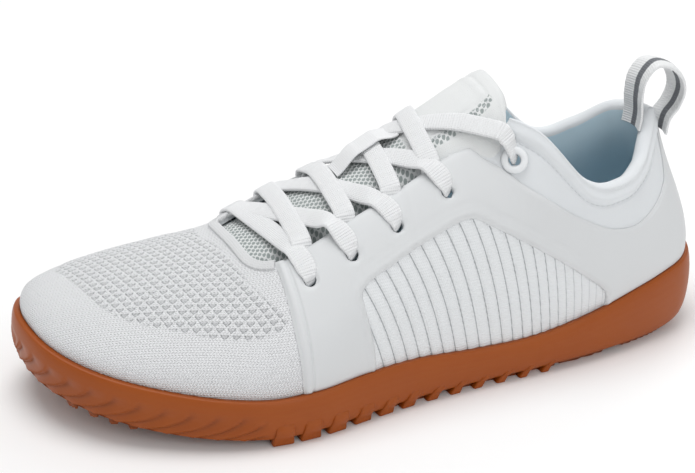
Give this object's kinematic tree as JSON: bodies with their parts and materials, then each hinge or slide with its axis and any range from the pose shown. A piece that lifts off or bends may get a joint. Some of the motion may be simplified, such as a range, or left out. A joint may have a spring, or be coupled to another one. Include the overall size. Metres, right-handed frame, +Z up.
{
  "type": "barefoot shoe",
  "caption": "Low lace-up barefoot shoe with a wide toe box, knit upper, smooth side overlays, ribbed side windows, flat flexible lugged gum sole and a heel pull loop.",
  "frame": {"origin": "on the ground under the middle of the shoe's bounding box", "axes": "+X towards the outer (lateral) side, +Y towards the heel, +Z up; the toe points to -Y"},
  "size_m": [0.1098, 0.285, 0.1146],
  "materials": {
    "gum_rubber": "gum rubber, slightly glossy",
    "knit": "bluish white fine knit",
    "overlay_film": "smooth matte white film with soft edges",
    "insole_foam": "blue grey lining cloth over foam",
    "tongue_fabric": "white open mesh and smooth padded panel",
    "lace_cord": "white flat woven cord",
    "eyelet_plastic": "pale moulded ring",
    "loop_webbing": "white webbing with one grey stripe"
  },
  "bodies": {
    "root": {"outsole": "gum_rubber", "upper": "knit", "quarter_overlay": "overlay_film", "insole": "insole_foam", "tongue": "tongue_fabric", "lace": "lace_cord", "lace_keeper": "lace_cord", "eyelet_lateral": "eyelet_plastic", "eyelet_medial": "eyelet_plastic", "pull_loop": "loop_webbing"}
  },
  "joints": []
}
